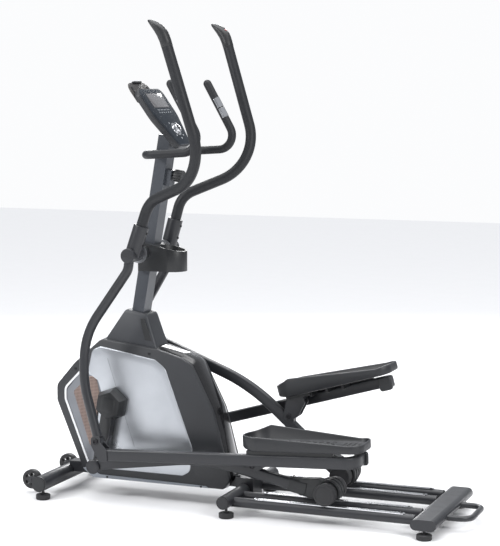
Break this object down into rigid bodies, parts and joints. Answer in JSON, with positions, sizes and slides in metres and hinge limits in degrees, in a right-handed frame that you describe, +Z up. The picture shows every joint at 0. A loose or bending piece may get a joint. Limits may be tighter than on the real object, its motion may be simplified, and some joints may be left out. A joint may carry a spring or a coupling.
{
  "type": "elliptical trainer",
  "caption": "Front-drive elliptical trainer: crank and flywheel housing, swinging handlebars, pedal trays on roller arms that run on rails, mast with display and cup holder.",
  "frame": {"origin": "floor level, under the middle of the overall length and width", "axes": "+Z up, +X towards the rear end of the rails (the user faces -X), +Y to the user's right"},
  "size_m": [1.664, 0.6758, 1.7011],
  "materials": {
    "charcoal_frame": "satin powder coat",
    "rail_steel": "polished strip",
    "bright_chrome": "polished",
    "charcoal_shell": "fine moulded grain",
    "silver_panel": "metallic lacquer",
    "copper_mesh": "printed mesh",
    "gloss_black": "polished",
    "grey_trim": "satin",
    "black_plastic": "fine grain",
    "foam_grip": "closed-cell foam",
    "wheel_rubber": "satin",
    "console_face": "printed film",
    "lcd": "grey display",
    "tablet_plate": "satin",
    "pedal_plastic": "textured tread",
    "machined_steel": "turned",
    "cast_iron": "painted rim",
    "belt_rubber": "matt",
    "red_button": "gloss",
    "bolt_black": "black oxide"
  },
  "bodies": {
    "frame": {"main_frame": "charcoal_frame", "front_stabiliser": "charcoal_frame", "middle_stabiliser": "charcoal_frame", "stabiliser_caps": "black_plastic", "rail_tubes": "charcoal_frame", "rail_strips": "rail_steel", "rear_crossbar": "charcoal_frame", "rail_clamp": "charcoal_frame", "screws": "bolt_black", "left_cover": "charcoal_shell", "right_cover": "charcoal_shell", "side_panels": "silver_panel", "mesh_inserts": "copper_mesh", "spine_cover": "gloss_black", "base_trims": "grey_trim", "mast_boot": "charcoal_shell", "mast": "charcoal_frame", "fixed_handlebar": "charcoal_frame", "fixed_grips": "foam_grip", "pulse_plates": "bright_chrome", "console_shell": "charcoal_shell", "console_face": "console_face", "console_screen": "lcd", "tablet_holder": "tablet_plate", "cup_holder": "black_plastic", "pivot_shaft": "machined_steel", "bearings": "machined_steel", "drive_belt": "belt_rubber", "magnet_brake": "machined_steel"},
    "crank_set": {"crank_axle": "machined_steel", "drive_pulley": "black_plastic", "crank_arms": "charcoal_frame", "crank_covers": "black_plastic"},
    "flywheel_set": {"flywheel": "cast_iron"},
    "left_handlebar_set": {"left_lower_arm": "charcoal_frame", "left_handlebar": "charcoal_frame", "left_grip": "foam_grip"},
    "left_thumb_button_set": {"left_thumb_button": "black_plastic"},
    "left_pedal_arm_set": {"left_pedal_arm": "charcoal_frame", "left_pedal": "pedal_plastic"},
    "left_roller_arm_set": {"left_roller_arm": "charcoal_frame"},
    "left_roller_set": {"left_rollers": "wheel_rubber"},
    "right_handlebar_set": {"right_lower_arm": "charcoal_frame", "right_handlebar": "charcoal_frame", "right_grip": "foam_grip"},
    "right_thumb_button_set": {"right_thumb_button": "red_button"},
    "right_pedal_arm_set": {"right_pedal_arm": "charcoal_frame", "right_pedal": "pedal_plastic"},
    "right_roller_arm_set": {"right_roller_arm": "charcoal_frame"},
    "right_roller_set": {"right_rollers": "wheel_rubber"},
    "front_left_foot_set": {"front_left_foot": "wheel_rubber"},
    "front_right_foot_set": {"front_right_foot": "wheel_rubber"},
    "middle_left_foot_set": {"middle_left_foot": "wheel_rubber"},
    "middle_right_foot_set": {"middle_right_foot": "wheel_rubber"},
    "rear_left_foot_set": {"rear_left_foot": "wheel_rubber"},
    "rear_right_foot_set": {"rear_right_foot": "wheel_rubber"},
    "left_transport_wheel_set": {"left_transport_wheel": "wheel_rubber"},
    "right_transport_wheel_set": {"right_transport_wheel": "wheel_rubber"},
    "clamp_knob_set": {"clamp_knob": "black_plastic"},
    "console_knob_set": {"console_knob": "bright_chrome"}
  },
  "joints": [
    {"name": "crank_spin", "type": "hinge", "parent": "frame", "child": "crank_set", "pos_m": [-0.501, 0, 0.338], "axis": [0, 1, 0], "continuous": true},
    {"name": "flywheel_spin", "type": "hinge", "parent": "frame", "child": "flywheel_set", "pos_m": [-0.255, 0, 0.236], "axis": [0, 1, 0], "continuous": true},
    {"name": "left_handlebar_swing", "type": "hinge", "parent": "frame", "child": "left_handlebar_set", "pos_m": [-0.382, 0, 0.887], "axis": [0, -1, 0], "range_deg": [-17, 20]},
    {"name": "left_pedal_arm_pivot", "type": "hinge", "parent": "left_handlebar_set", "child": "left_pedal_arm_set", "pos_m": [-0.49647, -0.207, 0.22919], "axis": [0, -1, 0], "range_deg": [-18.2, 15.5]},
    {"name": "left_roller_arm_pivot", "type": "hinge", "parent": "left_pedal_arm_set", "child": "left_roller_arm_set", "pos_m": [0.06943, -0.138, 0.17377], "axis": [0, -1, 0], "range_deg": [-2.07, 2.4]},
    {"name": "left_roller_spin", "type": "hinge", "parent": "left_roller_arm_set", "child": "left_roller_set", "pos_m": [0.34656, -0.138, 0.108], "axis": [0, -1, 0], "range_deg": [-348, 296.1]},
    {"name": "left_thumb_button_press", "type": "slide", "parent": "left_handlebar_set", "child": "left_thumb_button_set", "axis": [-0.4828, 0, -0.8757], "range_m": [0, 0.0015], "stiffness_N_per_m": 400, "springref_m": -0.001},
    {"name": "right_handlebar_swing", "type": "hinge", "parent": "frame", "child": "right_handlebar_set", "pos_m": [-0.382, 0, 0.887], "axis": [0, -1, 0], "range_deg": [-20.2, 17.2]},
    {"name": "right_pedal_arm_pivot", "type": "hinge", "parent": "right_handlebar_set", "child": "right_pedal_arm_set", "pos_m": [-0.4619, 0.207, 0.2241], "axis": [0, -1, 0], "range_deg": [-15.5, 18.2]},
    {"name": "right_roller_arm_pivot", "type": "hinge", "parent": "right_pedal_arm_set", "child": "right_roller_arm_set", "pos_m": [0.10141, 0.138, 0.30149], "axis": [0, -1, 0], "range_deg": [-0.5, 0.46]},
    {"name": "right_roller_spin", "type": "hinge", "parent": "right_roller_arm_set", "child": "right_roller_set", "pos_m": [0.31043, 0.138, 0.108], "axis": [0, -1, 0], "range_deg": [-296.1, 348]},
    {"name": "right_thumb_button_press", "type": "slide", "parent": "right_handlebar_set", "child": "right_thumb_button_set", "axis": [-0.4364, 0, -0.8998], "range_m": [0, 0.0015], "stiffness_N_per_m": 400, "springref_m": -0.001},
    {"name": "front_left_foot_turn", "type": "hinge", "parent": "frame", "child": "front_left_foot_set", "pos_m": [-0.715, -0.212, 0], "axis": [0, 0, 1], "continuous": true},
    {"name": "front_right_foot_turn", "type": "hinge", "parent": "frame", "child": "front_right_foot_set", "pos_m": [-0.715, 0.212, 0], "axis": [0, 0, 1], "continuous": true},
    {"name": "middle_left_foot_turn", "type": "hinge", "parent": "frame", "child": "middle_left_foot_set", "pos_m": [-0.005, -0.209, 0], "axis": [0, 0, 1], "continuous": true},
    {"name": "middle_right_foot_turn", "type": "hinge", "parent": "frame", "child": "middle_right_foot_set", "pos_m": [-0.005, 0.209, 0], "axis": [0, 0, 1], "continuous": true},
    {"name": "rear_left_foot_turn", "type": "hinge", "parent": "frame", "child": "rear_left_foot_set", "pos_m": [0.703, -0.228, 0], "axis": [0, 0, 1], "continuous": true},
    {"name": "rear_right_foot_turn", "type": "hinge", "parent": "frame", "child": "rear_right_foot_set", "pos_m": [0.703, 0.228, 0], "axis": [0, 0, 1], "continuous": true},
    {"name": "left_transport_wheel_spin", "type": "hinge", "parent": "frame", "child": "left_transport_wheel_set", "pos_m": [-0.797, -0.141, 0.051], "axis": [0, 1, 0], "continuous": true},
    {"name": "right_transport_wheel_spin", "type": "hinge", "parent": "frame", "child": "right_transport_wheel_set", "pos_m": [-0.797, 0.141, 0.051], "axis": [0, 1, 0], "continuous": true},
    {"name": "clamp_knob_turn", "type": "hinge", "parent": "frame", "child": "clamp_knob_set", "pos_m": [-0.33366, 0, 1.168], "axis": [0.9855, 0, -0.1695], "continuous": true},
    {"name": "console_knob_turn", "type": "hinge", "parent": "frame", "child": "console_knob_set", "pos_m": [-0.27963, 0, 1.32281], "axis": [0.81, 0, 0.5864], "continuous": true}
  ],
  "couplings": [
    {"joint": "flywheel_spin", "follows": "crank_spin", "ratio": 7.2222},
    {"joint": "left_pedal_arm_pivot", "follows": "left_handlebar_swing", "ratio": -0.9},
    {"joint": "left_roller_arm_pivot", "follows": "left_handlebar_swing", "ratio": 0.11},
    {"joint": "left_roller_spin", "follows": "left_handlebar_swing", "ratio": -17.3},
    {"joint": "right_handlebar_swing", "follows": "left_handlebar_swing", "ratio": -1},
    {"joint": "right_pedal_arm_pivot", "follows": "left_handlebar_swing", "ratio": 0.9},
    {"joint": "right_roller_arm_pivot", "follows": "left_handlebar_swing", "ratio": -0.015},
    {"joint": "right_roller_spin", "follows": "left_handlebar_swing", "ratio": 17.3}
  ]
}
